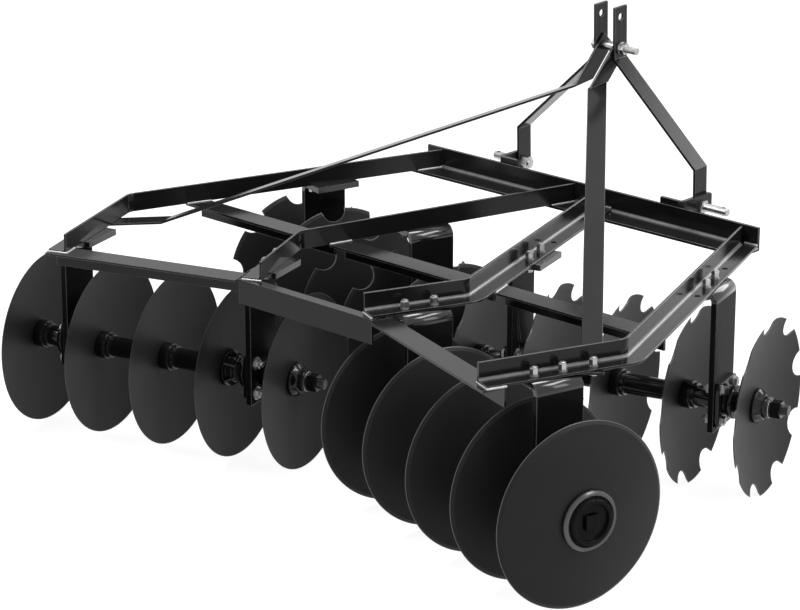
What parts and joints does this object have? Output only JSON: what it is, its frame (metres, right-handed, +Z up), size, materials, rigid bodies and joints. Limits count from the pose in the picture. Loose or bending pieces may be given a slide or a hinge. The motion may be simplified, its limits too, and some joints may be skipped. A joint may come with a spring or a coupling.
{
  "type": "disc harrow",
  "caption": "Mounted tandem disc harrow: notched front and smooth rear disc gangs in an X under a bent angle-iron frame, with a three-point mast.",
  "frame": {"origin": "on the ground under the middle of the bounding box", "axes": "+X to the machine's right, +Y forward in the travel direction, +Z up"},
  "size_m": [1.9602, 1.4719, 1.065],
  "materials": {
    "frame_paint": "gloss black paint",
    "disc_steel": "dark satin grey",
    "cast_black": "black paint on cast iron",
    "bright_steel": "zinc plated"
  },
  "bodies": {
    "frame": {"bearings_front_right": "cast_black", "bearings_front_left": "cast_black", "hanger_front_outer_right": "frame_paint", "hanger_front_outer_left": "frame_paint", "hanger_front_inner_right": "frame_paint", "hanger_front_inner_left": "frame_paint", "bearings_rear_right": "cast_black", "bearings_rear_left": "cast_black", "hanger_rear_outer_right": "frame_paint", "hanger_rear_outer_left": "frame_paint", "hanger_rear_inner_right": "frame_paint", "hanger_rear_inner_left": "frame_paint", "rail_outer_right": "frame_paint", "rail_outer_left": "frame_paint", "rail_inner_right": "frame_paint", "rail_inner_left": "frame_paint", "crossbar_side_right": "frame_paint", "crossbar_side_left": "frame_paint", "crossbar_centre": "frame_paint", "rear_bar_centre": "frame_paint", "rear_bar_side_right": "frame_paint", "rear_bar_side_left": "frame_paint", "front_beam": "frame_paint", "mast_bar_right": "frame_paint", "mast_bar_left": "frame_paint", "hitch_plate_right": "frame_paint", "hitch_plate_left": "frame_paint", "hitch_pin_right": "bright_steel", "hitch_pin_left": "bright_steel", "mast_bolt": "bright_steel", "brace_right": "frame_paint", "brace_left": "frame_paint"},
    "gang_front_left": {"discs_front_left": "disc_steel", "spools_front_left": "cast_black", "axle_front_left": "cast_black"},
    "gang_rear_left": {"discs_rear_left": "disc_steel", "spools_rear_left": "cast_black", "axle_rear_left": "cast_black"},
    "gang_front_right": {"discs_front_right": "disc_steel", "spools_front_right": "cast_black", "axle_front_right": "cast_black"},
    "gang_rear_right": {"discs_rear_right": "disc_steel", "spools_rear_right": "cast_black", "axle_rear_right": "cast_black"}
  },
  "joints": [
    {"name": "front_right_spin", "type": "hinge", "parent": "frame", "child": "gang_front_right", "pos_m": [0.406, 0.22448, 0.2286], "axis": [0.9641, 0.2656, 0], "continuous": true},
    {"name": "front_left_spin", "type": "hinge", "parent": "frame", "child": "gang_front_left", "pos_m": [-0.406, 0.22448, 0.2286], "axis": [-0.9641, 0.2656, 0], "continuous": true},
    {"name": "rear_right_spin", "type": "hinge", "parent": "frame", "child": "gang_rear_right", "pos_m": [0.5738, -0.42222, 0.2286], "axis": [-0.9641, 0.2656, 0], "continuous": true},
    {"name": "rear_left_spin", "type": "hinge", "parent": "frame", "child": "gang_rear_left", "pos_m": [-0.5738, -0.42222, 0.2286], "axis": [0.9641, 0.2656, 0], "continuous": true}
  ]
}
